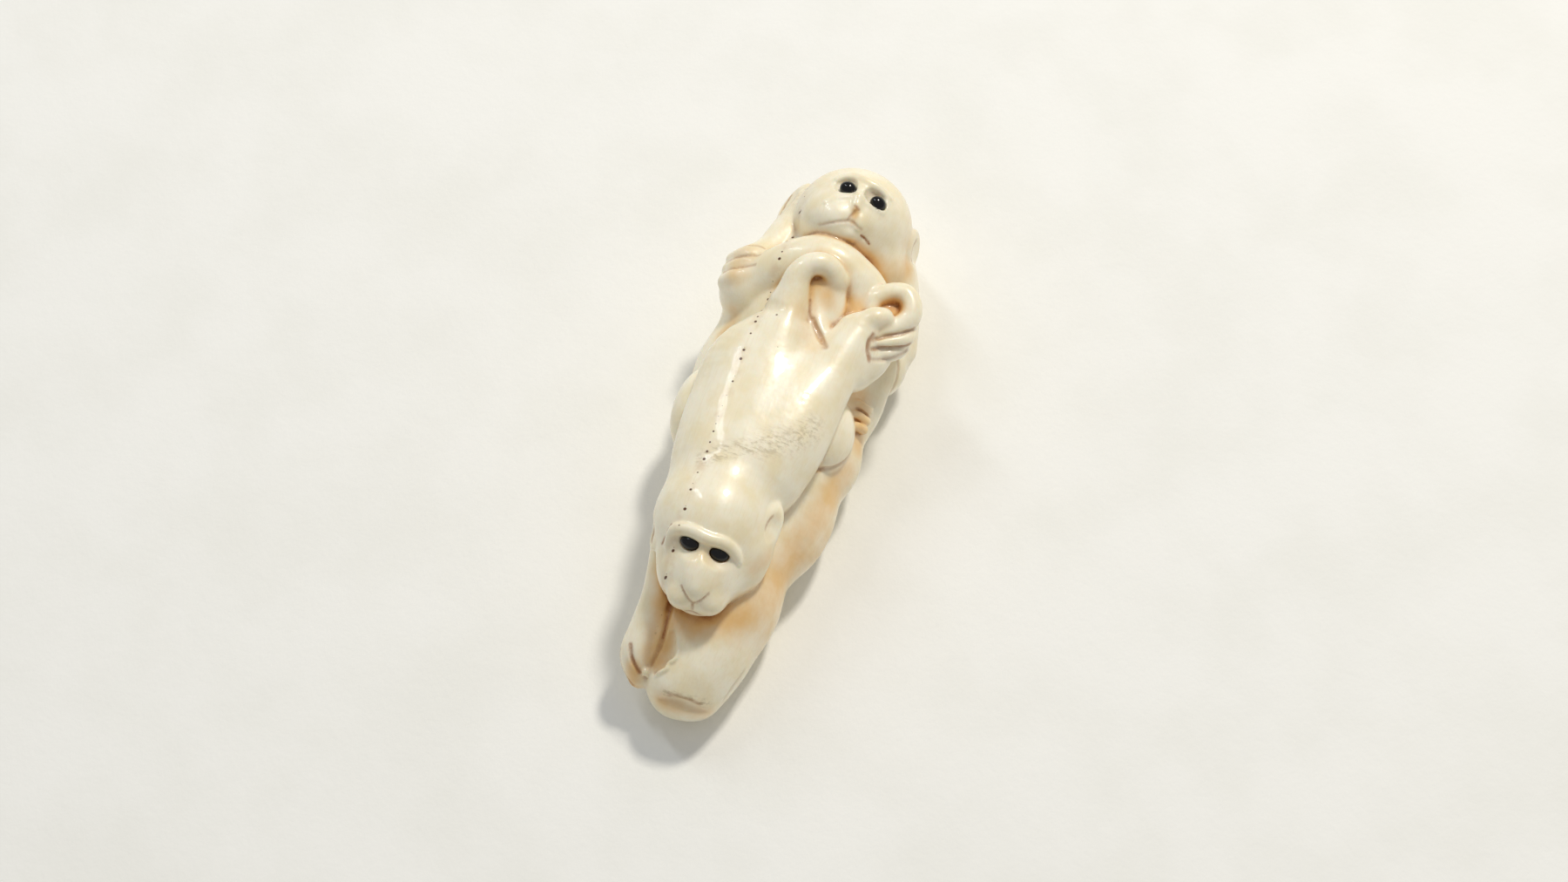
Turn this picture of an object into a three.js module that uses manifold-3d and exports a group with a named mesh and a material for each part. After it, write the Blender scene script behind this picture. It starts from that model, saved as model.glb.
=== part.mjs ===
// A netsuke of two monkeys on a gnarled branch. The monkeys and the branch are carved as one from a
// single piece of ivory, and the four eyes are small inlays of black horn.
//
// Millimetres, +Z up. The carving lies on the underside of its branch. +X runs from the sawn end of
// the branch to the crown of the rear monkey, and +Y is the right-hand side of both monkeys.
// A station is [x, y, z, halfWidth, halfHeight]: a place on the middle line of a limb and the size
// of the limb there. Where halfHeight is left out, the limb is round.
import * as THREE from 'three';
import { mergeVertices } from 'three/addons/utils/BufferGeometryUtils.js';
import Module from 'manifold-3d';

const wasm = await Module();
wasm.setup();

// ---- driving dimensions, in mm

const ORIGIN = [0.8, 1.3, 0.5];      // the middle of the underside, in the carving's own axes
const FACET = 2.4;                   // length of a facet on the large forms
const FINE_FACET = 1.4;              // on hands, ears and faces
const EYE_FACET = 0.7;
const BROAD_FACET = 3.0;             // on the broad back that lies underneath
const CAP_RINGS = 2;                 // rings of facets in the rounded end of a limb
const PATH_STRETCH = 1.25;           // facets are this much longer along a limb than round it

const FINGER = 0.8;                  // half the width of a finger laid over the knee
const TOE = 0.5;
const BROW = 0.5;                    // half the height of a brow ridge
const LINE = 0.2;                    // half the width of a cut line, such as a mouth
const FIST_FINGER = 0.85;            // half the width of a finger of the closed fist

const FRONT_EYE = [1.05, 0.68, 0.62];
const REAR_EYE = [0.9, 0.76, 0.66];
const EYE_GAP = 0.3;                 // room round an inlay in its socket

const CORD_HOLE = 1.6;               // radius of the two cord holes and the channel that joins them
const CORD_HOLE_SPACING = 9.5;
const CORD_CHANNEL_DEPTH = 3.6;      // from the underside to the middle of the channel
const CORD_CHANNEL_MIDDLE = [1.5, 0.4];

// ---- helpers

const vec = (p) => new THREE.Vector3(p[0], p[1], p[2]);

// A manifold solid from a closed three.js geometry.
function solidOf(geometry) {
  const bare = geometry.clone();
  bare.deleteAttribute('normal');
  bare.deleteAttribute('uv');
  const merged = mergeVertices(bare, 1e-5);
  const mesh = new wasm.Mesh({
    numProp: 3,
    vertProperties: new Float32Array(merged.attributes.position.array),
    triVerts: new Uint32Array(merged.index.array),
  });
  return new wasm.Manifold(mesh);
}

// How many facets a length takes, never fewer than `least`.
const facets = (length, facet, least) => Math.max(least, Math.round(length / facet));

// A limb: a sphere drawn out along a smooth curve through its stations, with an elliptic section
// that follows them and a rounded cap at each end. `up` is the direction of the half heights.
function limb(stations, facet = FACET, up = [0, 0, 1]) {
  const rows = stations.map((s) => (s.length === 4 ? [...s, s[3]] : s));
  const path = new THREE.CatmullRomCurve3(rows.map(vec), false, 'catmullrom', 0.5);
  const sizes = new THREE.CatmullRomCurve3(rows.map((s) => new THREE.Vector3(s[3], s[4], 0)),
    false, 'catmullrom', 0.5);
  const widest = Math.max(...rows.map((s) => Math.max(s[3], s[4])));
  const sides = facets(2 * Math.PI * widest, facet, 6);
  const along = facets(path.getLength(), facet * PATH_STRETCH, rows.length);
  const rings = along + 2 * CAP_RINGS;
  const swell = 1 / Math.sqrt(Math.cos(Math.PI / sides));

  const geometry = new THREE.SphereGeometry(1, sides, rings);
  const position = geometry.attributes.position;
  const uv = geometry.attributes.uv;
  for (let i = 0; i < position.count; i += 1) {
    const ring = Math.round((1 - uv.getY(i)) * rings);
    const t = THREE.MathUtils.clamp((ring - CAP_RINGS) / along, 0, 1);
    const fromEnd = Math.min(ring, rings - ring, CAP_RINGS) / CAP_RINGS;
    const lift = Math.sin(fromEnd * Math.PI / 2);
    const jut = Math.cos(fromEnd * Math.PI / 2) * (t < 0.5 ? -1 : 1);

    const size = sizes.getPoint(t);
    const tangent = path.getTangent(t);
    const side = vec(up).cross(tangent).normalize();
    const upward = tangent.clone().cross(side);
    const around = uv.getX(i) * 2 * Math.PI;
    const atPole = lift < 1e-6;
    const place = path.getPoint(t)
      .addScaledVector(tangent, jut * Math.min(size.x, size.y))
      .addScaledVector(side, atPole ? 0 : -Math.cos(around) * size.x * lift * swell)
      .addScaledVector(upward, atPole ? 0 : Math.sin(around) * size.y * lift * swell);
    position.setXYZ(i, place.x, place.y, place.z);
  }
  return solidOf(geometry);
}

// A swelling: an ellipsoid with its first half axis along `along` and its second near `across`.
function swelling(centre, halfAxes, facet = FACET, along = [1, 0, 0], across = [0, 1, 0]) {
  const largest = Math.max(...halfAxes);
  const sides = facets(2 * Math.PI * largest, facet, 8);
  const geometry = new THREE.SphereGeometry(1, sides, Math.max(5, Math.round(sides / 2.2)));
  const x = vec(along).normalize();
  const y = vec(across).addScaledVector(x, -x.dot(vec(across))).normalize();
  const z = x.clone().cross(y);
  geometry.scale(...halfAxes);
  geometry.applyMatrix4(new THREE.Matrix4().makeBasis(x, y, z).setPosition(...centre));
  return solidOf(geometry);
}

const join = (solids) => solids.reduce((whole, next) => whole.add(next));

// ---- the branch and the limbs of the rear monkey that grip it

function branch() {
  const stem = limb([
    [-26.3, 0.9, 4.2, 3.2, 3.4], [-24.3, 0.8, 4.5, 3.9, 4.2], [-21.6, 0.5, 4.8, 4.4, 4.6],
    [-17.6, 0.2, 5.0, 4.4, 4.8], [-12.6, -0.5, 5.1, 4.3, 4.9], [-6.7, -1.0, 5.2, 4.8, 5.0],
    [-0.7, -1.1, 5.4, 5.4, 5.2], [5.9, -0.9, 5.5, 5.8, 5.3], [12.4, -0.2, 5.8, 6.2, 5.6],
    [18.4, 0.7, 6.2, 6.6, 6.0], [23.8, 1.4, 6.8, 6.2, 6.2], [26.7, 1.6, 7.4, 5.2, 5.6],
  ]);
  const endKnot = swelling([-25.5, 2.5, 4.2], [4.4, 3.2, 3.5]);
  const sideKnot = swelling([-21.1, 4.3, 4.6], [5.5, 3.0, 4.0]);
  const lowerKnot = swelling([-17.6, -0.6, 5.0], [5.6, 4.2, 4.8], FACET, [0.99, -0.12, 0]);
  const middleKnot = limb([
    [-11.9, -3.1, 5.0, 2.2], [-8.4, -3.3, 5.0, 3.5], [-5.0, -3.4, 5.0, 3.6], [-2.6, -3.3, 5.4, 2.8],
  ]);
  return join([stem, endKnot, sideKnot, lowerKnot, middleKnot]);
}

function rearLegs() {
  const leftLeg = limb([
    [11.0, -5.8, 5.4, 2.2], [7.3, -5.4, 5.2, 2.6], [3.6, -4.5, 5.0, 2.8], [0.0, -4.5, 5.0, 3.2],
    [-3.9, -3.9, 5.2, 2.5],
  ]);
  const leftElbow = swelling([12.8, -6.7, 5.2], [3.4, 2.3, 3.4]);
  const rightFlank = limb([
    [15.7, 7.9, 8.5, 3.0], [11.6, 7.6, 7.0, 2.9], [6.9, 8.6, 6.6, 2.8], [2.4, 8.4, 6.4, 2.6],
  ]);
  const rightLeg = limb([
    [15.0, 7.2, 4.6, 3.4], [8.5, 7.5, 4.0, 3.4], [1.5, 7.0, 3.6, 3.2], [-4.5, 5.6, 3.1, 2.6],
  ]);
  const rightFoot = limb([
    [-5.0, 5.4, 2.6, 1.9], [-8.5, 5.6, 2.2, 1.6], [-11.0, 5.6, 2.0, 1.2],
  ], FINE_FACET);
  const back = swelling([14.5, 1.6, 7.0], [11.5, 8.0, 6.9], BROAD_FACET);
  return join([leftLeg, leftElbow, rightFlank, rightLeg, rightFoot, back]);
}

function leftToes() {
  const toes = [
    [[5.5, -4.3, 8.8], [6.1, -5.7, 8.2], [6.2, -6.9, 7.2]],
    [[4.3, -4.8, 8.7], [4.9, -6.0, 8.0], [5.0, -7.0, 7.1]],
    [[3.2, -5.2, 8.5], [3.8, -6.4, 7.8], [4.0, -7.0, 7.1]],
  ];
  return join(toes.map((toe) => limb(toe.map((p) => [...p, TOE]), FINE_FACET)));
}

// ---- the front monkey

function frontBody() {
  const trunk = limb([
    [-9.4, 3.2, 11.0, 5.3, 4.6], [-6.3, 3.2, 11.6, 6.2, 4.7], [-2.6, 3.0, 11.9, 6.7, 4.5],
    [1.3, 3.1, 11.9, 6.6, 4.4], [4.7, 3.6, 12.0, 6.0, 4.2], [7.3, 3.2, 12.4, 4.2, 3.8],
    [9.4, 2.7, 13.0, 2.4, 3.2], [11.4, 2.8, 13.9, 1.7, 2.3], [12.8, 3.0, 14.8, 1.4, 1.6],
  ]);
  const leftArm = limb([
    [-5.8, -0.6, 11.6, 3.0], [-2.2, -1.5, 12.3, 3.2], [1.8, -2.1, 12.7, 3.1, 2.9],
    [5.4, -2.8, 13.0, 2.8, 2.4], [8.5, -3.5, 13.2, 2.5, 2.2], [10.8, -4.2, 13.3, 2.2, 2.0],
  ]);
  const leftKnee = swelling([1.5, -4.0, 8.6], [4.1, 2.7, 3.1], FACET, [1, 0.1, 0]);
  const rightKnee = swelling([0.8, 9.2, 8.0], [4.7, 2.5, 3.2]);
  const rightArm = limb([
    [-11.3, 7.2, 8.6, 2.4], [-14.9, 6.7, 8.3, 2.1], [-19.3, 6.3, 7.5, 1.9],
    [-22.7, 6.5, 6.4, 1.9], [-25.0, 6.7, 5.3, 1.9], [-26.7, 6.1, 4.3, 1.2],
  ]);
  return join([trunk, leftArm, leftKnee, rightKnee, rightArm]);
}

function frontTail() {
  const curl = limb([
    [11.1, 3.2, 13.9, 2.2], [12.6, 3.1, 14.9, 1.6], [14.1, 3.0, 15.7, 1.35],
    [15.3, 2.3, 16.2, 1.25], [15.9, 1.2, 16.1, 1.25], [15.9, 0.2, 15.6, 1.2],
    [15.4, -0.7, 14.8, 1.2],
  ], FINE_FACET);
  const tuft = limb([
    [15.4, -0.6, 14.6, 1.2, 1.1], [14.5, -0.2, 13.8, 1.8, 1.4], [13.1, 0.0, 13.3, 2.4, 1.5],
    [11.6, -0.4, 12.8, 2.3, 1.5], [10.0, -1.4, 12.0, 1.6, 1.3],
  ]);
  const hollowFloor = limb([
    [17.8, -0.8, 10.2, 3.2], [14.4, -0.9, 10.6, 2.6], [11.4, -1.0, 10.8, 1.8],
  ]);
  return join([curl, tuft, hollowFloor]);
}

// The closed left fist: the heel of the hand, a forefinger bent into a ring, two fingers below it,
// and the thumb's tip hooked into the ring.
function leftFist() {
  const heel = limb([[7.4, -4.9, 11.6, 1.8], [9.0, -6.0, 11.6, 1.7], [9.9, -6.6, 11.6, 1.4]]);
  const palm = swelling([13.2, -6.4, 11.2], [3.2, 2.6, 2.5]);
  const ringFloor = swelling([13.9, -6.4, 12.0], [2.2, 2.0, 1.6], FINE_FACET);
  const ring = limb([
    [14.1, -4.6, 13.0, 1.05], [15.2, -4.8, 13.4, 1.05], [16.1, -6.0, 13.6, 1.1],
    [16.4, -7.4, 13.6, 1.15], [15.5, -8.3, 13.5, 1.15], [14.1, -8.5, 13.3, 1.15],
    [12.7, -7.6, 13.1, 1.15], [11.7, -6.4, 13.0, 1.15], [10.9, -5.2, 12.8, 1.1],
  ], FINE_FACET);
  const fingers = [0, 1].map((i) => limb([
    [10.1 - 0.9 * i, -5.4, 13.3 - 0.8 * i, FIST_FINGER],
    [10.9 - 0.9 * i, -7.2, 13.2 - 0.8 * i, FIST_FINGER],
    [12.0 - 0.9 * i, -8.6, 12.8 - 0.9 * i, FIST_FINGER],
    [13.4 - 0.8 * i, -8.7, 12.1 - 0.8 * i, FIST_FINGER],
    [14.6 - 0.9 * i, -8.0, 11.4 - 0.8 * i, FIST_FINGER],
  ], FINE_FACET));
  const thumb = limb([
    [11.2, -3.9, 13.5, 1.6], [11.9, -4.8, 14.0, 1.35], [12.5, -5.5, 14.3, 1.2],
    [12.9, -6.2, 14.2, 1.05],
  ], FINE_FACET);
  return join([heel, palm, ringFloor, ring, ...fingers, thumb]);
}

function frontHead() {
  const cranium = swelling([-12.2, 3.3, 11.6], [6.2, 5.7, 5.2]);
  const jaw = swelling([-15.2, 1.8, 10.9], [4.2, 4.9, 3.4], FACET, [0.89, 0.13, 0.43]);
  const cheek = swelling([-16.8, 4.9, 11.4], [3.3, 2.3, 2.4]);
  const muzzle = swelling([-19.2, 2.3, 11.8], [3.1, 3.1, 2.2], FINE_FACET, [0.85, 0.11, 0.5]);
  const nose = limb([
    [-17.2, 2.8, 14.3, 0.9, 0.6], [-18.6, 2.65, 14.3, 1.15, 0.75], [-19.8, 2.5, 13.7, 1.25, 0.9],
  ], FINE_FACET);
  const brow = limb([
    [-16.9, 6.3, 14.0, BROW], [-15.9, 5.7, 15.5, BROW], [-16.0, 3.7, 16.0, BROW],
    [-16.1, 1.7, 15.7, BROW], [-16.2, -0.2, 14.8, BROW], [-16.6, -0.9, 14.0, BROW],
  ], FINE_FACET);
  const leftEar = swelling([-11.7, -2.1, 12.8], [2.6, 1.5, 0.9], FINE_FACET, [1, -0.1, 0.1],
    [0, 0.65, 0.75]);
  const rightEar = swelling([-14.4, 7.8, 11.5], [2.3, 0.7, 1.7], FINE_FACET);
  return join([cranium, jaw, cheek, muzzle, nose, brow, leftEar, rightEar]);
}

// ---- the rear monkey

function rearHead() {
  const cranium = swelling([24.5, 0.4, 10.4], [6.1, 6.1, 6.0]);
  const muzzle = swelling([22.4, 1.8, 14.2], [2.6, 2.9, 2.4], FINE_FACET);
  const mask = swelling([22.9, 0.1, 14.5], [2.3, 3.1, 2.0], FINE_FACET);
  const cheek = swelling([20.9, -3.2, 9.6], [2.6, 3.0, 2.8]);
  const brow = limb([
    [26.2, 2.6, 15.6, BROW], [27.0, 1.2, 15.7, BROW], [26.8, -0.4, 15.8, BROW],
    [26.5, -1.6, 15.5, BROW], [25.9, -2.9, 14.8, BROW],
  ], FINE_FACET);
  const rightEar = swelling([25.6, 6.9, 9.8], [2.9, 0.9, 2.0], FINE_FACET, [0.97, -0.23, 0]);
  const leftEar = swelling([24.6, -5.9, 9.0], [2.1, 0.6, 2.0], FINE_FACET);
  return join([cranium, muzzle, mask, cheek, brow, rightEar, leftEar]);
}

function rearArms() {
  const rightArm = limb([
    [24.0, 5.7, 9.0, 2.4], [21.6, 6.6, 9.8, 2.0], [18.8, 7.6, 11.0, 1.5], [16.7, 8.8, 12.0, 1.4],
  ]);
  const leftArm = limb([
    [23.0, -3.8, 8.0, 2.8], [20.7, -5.2, 7.2, 2.6], [17.2, -6.7, 6.5, 2.2], [14.8, -7.2, 5.5, 2.2],
  ]);
  const knee = swelling([14.6, 8.3, 9.6], [3.5, 3.0, 3.3]);
  const shin = limb([
    [14.7, 7.6, 10.6, 2.4], [15.9, 5.7, 12.2, 2.5], [17.2, 3.7, 13.3, 2.4], [18.0, 1.7, 13.7, 2.3],
    [17.7, -0.6, 13.4, 2.3], [16.6, -3.0, 12.2, 2.3], [15.6, -5.0, 10.8, 2.1],
  ]);
  const shinFoot = limb([[16.6, -2.6, 12.4, 2.2], [14.8, -3.2, 12.3, 1.8], [13.0, -3.4, 12.0, 1.7]]);
  return join([rightArm, leftArm, knee, shin, shinFoot]);
}

// Three fingers of the rear monkey's right hand, laid side by side over its knee.
function rearRightFingers() {
  return join([17.1, 15.8, 14.4].map((x) => limb([
    [x + 0.1, 8.2, 12.3, FINGER], [x - 0.2, 9.6, 12.0, FINGER], [x - 0.4, 10.6, 11.0, FINGER],
  ], FINE_FACET)));
}

// ---- cuts

function ringHollow() {
  return limb([[14.5, -7.0, 16.0, 0.8], [14.7, -6.9, 13.6, 0.6]], FINE_FACET, [1, 0, 0]);
}

function stumpRecess() {
  return limb([
    [-29.4, 3.2, 6.3, 0.5], [-29.4, 1.8, 6.8, 0.7], [-29.2, -0.2, 6.4, 0.7],
    [-28.8, -1.4, 5.5, 0.5],
  ], FINE_FACET);
}

function mouths() {
  const frontNostrils = limb([
    [-20.9, 3.8, 13.7, LINE], [-21.7, 2.5, 12.7, LINE], [-20.7, 1.1, 13.5, LINE],
  ], FINE_FACET);
  const rearMouth = limb([
    [20.4, 3.0, 15.8, LINE], [20.6, 1.3, 16.3, LINE], [21.2, -0.4, 16.1, LINE],
  ], FINE_FACET);
  return join([frontNostrils, rearMouth]);
}

function earHollows() {
  const frontLeft = swelling([-12.4, -3.2, 12.8], [1.2, 0.6, 0.9], FINE_FACET, [1, -0.1, 0.2]);
  const rearRight = swelling([25.4, 7.9, 9.8], [1.8, 0.6, 1.0], FINE_FACET, [0.97, -0.23, 0]);
  return join([frontLeft, rearRight]);
}

// Two cord holes in the underside, joined inside by a channel.
function cordChannel() {
  const half = CORD_HOLE_SPACING / 2;
  const [x, y] = CORD_CHANNEL_MIDDLE;
  const bend = Array.from({ length: 7 }, (_, i) => {
    const angle = Math.PI * i / 6;
    return [x - half * Math.cos(angle), y, CORD_CHANNEL_DEPTH * Math.sin(angle), CORD_HOLE];
  });
  const ends = [x - half, x + half].map((end) => [end, y, -3, CORD_HOLE]);
  return limb([ends[0], ...bend, ends[1]], FINE_FACET, [0, 1, 0]);
}

// Everything below the height of the resting spot.
function belowFoot() {
  const block = new THREE.BoxGeometry(90, 40, 20);
  block.translate(0, 0, ORIGIN[2] - 10);
  return solidOf(block);
}

// ---- the inlaid eyes

const eye = (name, half, centre, out) => ({ name, half, centre, out });

const EYES = [
  eye('front_monkey_right_eye', FRONT_EYE, [-16.55, 4.1, 14.95], [-0.6, 0.16, 0.78]),
  eye('front_monkey_left_eye', FRONT_EYE, [-16.65, 1.15, 14.5], [-0.49, -0.3, 0.79]),
  eye('rear_monkey_right_eye', REAR_EYE, [25.2, 1.2, 16.1], [0.1, 0.06, 0.97]),
  eye('rear_monkey_left_eye', REAR_EYE, [24.7, -2.1, 15.55], [0.03, -0.43, 0.9]),
];
const EYE_LINE = { front: [-0.03, -0.98, -0.13], rear: [-0.14, -0.97, -0.17] };

function eyeSolid({ name, half, centre, out: outward }, room) {
  const out = vec(outward).normalize();
  const line = vec(name.startsWith('front') ? EYE_LINE.front : EYE_LINE.rear);
  const along = line.addScaledVector(out, -out.dot(line)).normalize();
  const across = out.clone().cross(along);
  return swelling(centre, half.map((h) => h + room), EYE_FACET,
    along.toArray(), across.toArray());
}

// ---- assembly

function geometryOf(solid) {
  const mesh = solid.getMesh();
  const geometry = new THREE.BufferGeometry();
  geometry.setAttribute('position', new THREE.BufferAttribute(mesh.vertProperties.slice(), 3));
  geometry.setIndex(new THREE.BufferAttribute(mesh.triVerts.slice(), 1));
  geometry.translate(-ORIGIN[0], -ORIGIN[1], -ORIGIN[2]);
  geometry.computeVertexNormals();
  return geometry;
}

const ivory = new THREE.MeshStandardMaterial({ color: 0xf3ead0, roughness: 0.32, metalness: 0 });
const horn = new THREE.MeshStandardMaterial({ color: 0x060505, roughness: 0.12, metalness: 0 });

function carving() {
  const whole = join([
    branch(), rearLegs(), leftToes(), frontBody(), frontTail(), leftFist(), frontHead(), rearHead(),
    rearArms(), rearRightFingers(),
  ]);
  const sockets = join(EYES.map((inlay) => eyeSolid(inlay, EYE_GAP)));
  const cuts = join([sockets, ringHollow(), stumpRecess(), mouths(), earHollows(), cordChannel()]);
  return whole.subtract(cuts).subtract(belowFoot());
}

const netsuke = new THREE.Group();

const body = new THREE.Mesh(geometryOf(carving()), ivory.clone());
body.name = 'monkeys_and_branch';
netsuke.add(body);

for (const inlay of EYES) {
  const mesh = new THREE.Mesh(geometryOf(eyeSolid(inlay, 0)), horn.clone());
  mesh.name = inlay.name;
  netsuke.add(mesh);
}

export default netsuke;
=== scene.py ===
"""A netsuke of two monkeys on a gnarled branch, carved in ivory, with inlaid eyes of black horn.

The ivory is shaped the way it is carved. Large rounded forms are run together first, then
hollows and lines are cut and small forms raised. Until it is a mesh it is a field of distances,
in millimetres, in the carving's own axes: +X from the sawn end of the branch to the crown of the
rear monkey, +Y the right-hand side of both monkeys, +Z up. A station is [x, y, z, half width,
half height]: a place on the middle line of a limb and the size of the limb there.
"""
import math

import bpy
import numpy as np
from mathutils import Matrix, Vector


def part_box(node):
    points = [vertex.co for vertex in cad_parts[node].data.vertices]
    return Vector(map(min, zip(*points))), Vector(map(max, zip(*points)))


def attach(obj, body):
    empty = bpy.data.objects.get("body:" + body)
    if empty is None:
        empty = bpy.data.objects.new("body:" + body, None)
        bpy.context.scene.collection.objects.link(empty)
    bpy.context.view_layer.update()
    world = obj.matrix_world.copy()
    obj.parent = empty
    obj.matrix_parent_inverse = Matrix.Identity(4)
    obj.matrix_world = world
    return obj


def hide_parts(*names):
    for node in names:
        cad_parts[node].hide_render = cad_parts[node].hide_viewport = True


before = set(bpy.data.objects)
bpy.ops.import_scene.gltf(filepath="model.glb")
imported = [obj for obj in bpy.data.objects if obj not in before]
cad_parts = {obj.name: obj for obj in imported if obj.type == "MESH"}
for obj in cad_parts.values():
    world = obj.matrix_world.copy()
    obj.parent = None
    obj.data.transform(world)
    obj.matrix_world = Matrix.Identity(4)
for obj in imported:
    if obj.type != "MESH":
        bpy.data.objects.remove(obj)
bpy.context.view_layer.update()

# ---- sizes, in mm

MM = 0.001
ORIGIN = np.array([0.8, 1.3, 0.5])       # the middle of the underside, in the carving's own axes
FIELD_LOW = (-32.5, -11.5, -0.6)         # the block that the carving is cut from
FIELD_HIGH = (33.0, 14.0, 19.2)
GRID = 0.17      # spacing of the field's grid
MOST_TRIANGLES = 190000                  # of the ivory, after it is thinned out

CORD_HOLE = 1.6
CORD_HOLE_SPACING = 9.5
CORD_CHANNEL_DEPTH = 3.6
CORD_CHANNEL_MIDDLE = (1.5, 0.4)

CORE_PLANE = 5.5          # y of the tusk's core, where its pores come to the surface
PORE_GAP = 1.15           # usual distance from one pore to the next
SPECK_GAP = 1.3           # and from one speck to the next
VALLEY = 1.1              # reach of the blur that finds the hollows between forms
LINE_WIDTH = 0.3          # reach of the blur that finds the cut lines
EYE_SIDES, EYE_RINGS = 48, 24
SOCKET_ROOM = 0.04        # between an inlay and its socket

# ---- the setting's sizes, in metres and degrees

FLOOR_HALF = 1.2
FLOOR_GAP = 0.00002       # keeps the floor from flickering through the underside
CAMERA_ELEVATION = 62
CAMERA_SWING = 17.5       # from +X towards +Y
CAMERA_DISTANCE = 0.280
CAMERA_TARGET = (0, 0, 8.0)      # in mm, in the carving's own axes


# ---- the field

def unit(v):
    v = np.asarray(v, float)
    return v / np.linalg.norm(v)


def smooth_curve(stations, steps):
    """Rows along a Catmull-Rom curve through the stations, sizes included."""
    rows = np.asarray(stations, float)
    rows = np.vstack([2 * rows[0] - rows[1], rows, 2 * rows[-1] - rows[-2]])
    out = []
    for a, b, c, d in zip(rows, rows[1:], rows[2:], rows[3:]):
        for t in np.arange(steps) / steps:
            out.append(0.5 * (2 * b + (c - a) * t + (2 * a - 5 * b + 4 * c - d) * t ** 2
                              + (3 * b - a - 3 * c + d) * t ** 3))
    out.append(rows[-2])
    return np.array(out)


def ellipsoid_distance(parts, halves):
    """Roughly the distance to an ellipsoid, from coordinates along its axes."""
    scaled = [p / h for p, h in zip(parts, halves)]
    near = np.sqrt(sum(s * s for s in scaled))
    steep = np.sqrt(sum((s / h) ** 2 for s, h in zip(scaled, halves))) + 1e-6
    return np.maximum(near * (near - 1) / steep, -halves[2])


class Swelling:
    """An ellipsoid, with its first half axis along `along` and its second near `across`."""

    def __init__(self, centre, halves, along=(1, 0, 0), across=(0, 1, 0)):
        x = unit(along)
        y = unit(np.asarray(across, float) - x * np.dot(x, across))
        self.axes = np.array([x, y, np.cross(x, y)])
        self.centre = np.asarray(centre, float)
        self.halves = np.asarray(halves, float)

    def spans(self):
        reach = np.sqrt(((self.axes.T * self.halves) ** 2).sum(1))
        yield self.centre - reach, self.centre + reach, self.distance

    def distance(self, x, y, z):
        gone = (x - self.centre[0], y - self.centre[1], z - self.centre[2])
        parts = [sum(g * a for g, a in zip(gone, axis)) for axis in self.axes]
        order = np.argsort(-self.halves)
        return ellipsoid_distance([parts[i] for i in order], self.halves[order])


class Limb:
    """Ellipsoids run along a smooth curve. `up` is the direction of the half heights."""

    def __init__(self, stations, up=(0, 0, 1), steps=5):
        rows = [list(s) + [s[3]] if len(s) == 4 else list(s) for s in stations]
        self.rows = smooth_curve(rows, steps)
        self.rows[:, 3:] = np.maximum(self.rows[:, 3:], 0.04)
        self.up = np.asarray(up, float)

    def spans(self):
        for start, end in zip(self.rows, self.rows[1:]):
            reach = max(start[3:].max(), end[3:].max())
            low = np.minimum(start[:3], end[:3]) - reach
            high = np.maximum(start[:3], end[:3]) + reach
            yield low, high, self.length_distance(start, end)

    def length_distance(self, start, end):
        span = np.linalg.norm(end[:3] - start[:3]) + 1e-9
        tangent = (end[:3] - start[:3]) / span
        side = np.cross(self.up, tangent)
        side = unit(side) if np.linalg.norm(side) > 1e-6 else np.array([1.0, 0, 0])
        upward = np.cross(tangent, side)

        def distance(x, y, z):
            gone = (x - start[0], y - start[1], z - start[2])
            on, over, above = (sum(g * a for g, a in zip(gone, axis))
                               for axis in (tangent, side, upward))
            share = np.clip(on / span, 0, 1)
            width = start[3] + share * (end[3] - start[3])
            height = start[4] + share * (end[4] - start[4])
            return ellipsoid_distance([over, above, on - share * span],
                                      [width, height, np.minimum(width, height)])
        return distance


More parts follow.
